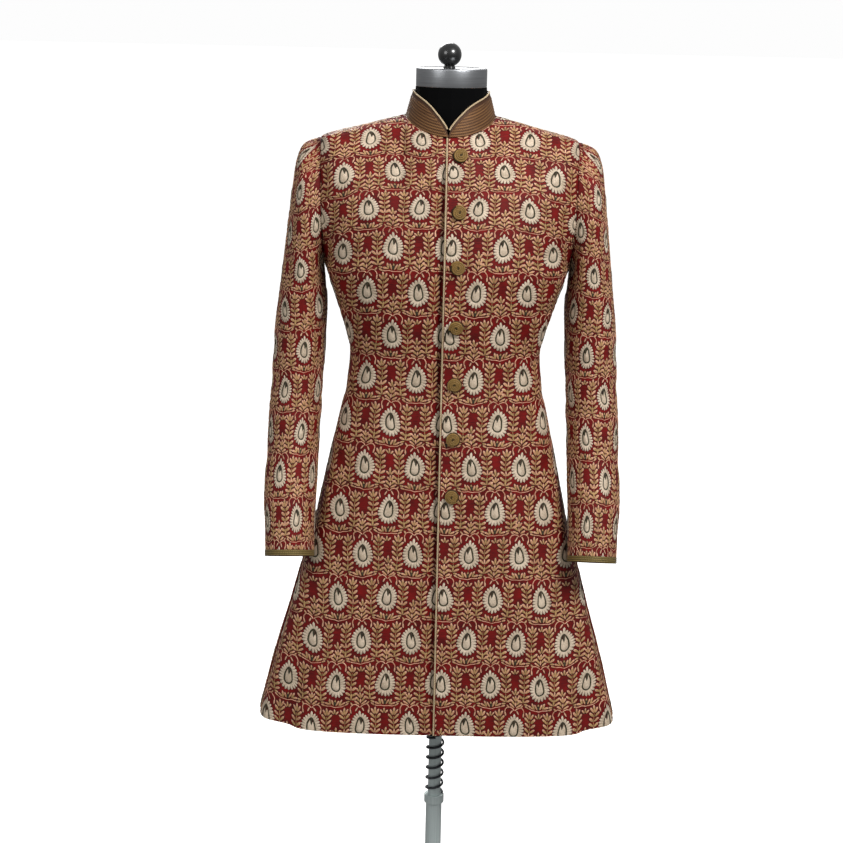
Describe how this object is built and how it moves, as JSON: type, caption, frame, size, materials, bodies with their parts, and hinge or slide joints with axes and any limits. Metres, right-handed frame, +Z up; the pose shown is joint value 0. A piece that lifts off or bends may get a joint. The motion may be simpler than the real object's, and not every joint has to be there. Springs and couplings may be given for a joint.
{
  "type": "sherwani coat on a limbless dress form with a pole stand",
  "caption": "Knee-length fitted coat with band collar, buttoned front and long sleeves, embroidered all over with flower sprays, on a limbless dress form and pole stand.",
  "frame": {"origin": "middle of the base's underside, on the pole's axis", "axes": "+Z up along the pole, -Y out of the coat's front, +X to the wearer's left"},
  "size_m": [0.6298, 0.39, 1.6204],
  "materials": {
    "embroidered_silk": "red silk weave covered by gold, khaki and cream thread embroidery",
    "cuff_band": "olive-gold ribbed band",
    "corded_collar": "rows of bronze-gold cord couched side by side",
    "piping": "cream-gold corded piping",
    "wound_cord": "olive-gold cord wound over a domed core",
    "black_jersey": "matt black stretch jersey over a moulded form",
    "brushed_cap": "brushed round the edge, thin bright rim",
    "black_knob": "black lacquer",
    "painted_base": "satin dark grey paint",
    "chrome_tube": "bright",
    "spring_steel": "dark oiled wire",
    "black_rubber": "matt"
  },
  "bodies": {
    "stand": {"base": "painted_base", "outer_tube": "chrome_tube", "tube_collar": "chrome_tube", "spring": "spring_steel"},
    "pole": {"inner_rod": "chrome_tube", "stop_ring": "black_rubber"},
    "form": {"form_torso": "black_jersey", "neck_cap": "brushed_cap", "cap_knob": "black_knob", "front_left": "embroidered_silk", "front_right": "embroidered_silk", "back_left": "embroidered_silk", "back_right": "embroidered_silk", "sleeve_left": "embroidered_silk", "sleeve_right": "embroidered_silk", "cuff_band_left": "cuff_band", "cuff_band_right": "cuff_band", "collar": "corded_collar", "collar_piping": "piping", "front_piping": "piping", "button_1": "wound_cord", "button_2": "wound_cord", "button_3": "wound_cord", "button_4": "wound_cord", "button_5": "wound_cord", "button_6": "wound_cord", "button_7": "wound_cord"}
  },
  "joints": [
    {"name": "height", "type": "slide", "parent": "stand", "child": "pole", "axis": [0, 0, 1], "range_m": [0, 0.15]},
    {"name": "turn", "type": "hinge", "parent": "pole", "child": "form", "pos_m": [0, 0, 0.8], "axis": [0, 0, 1], "continuous": true}
  ]
}
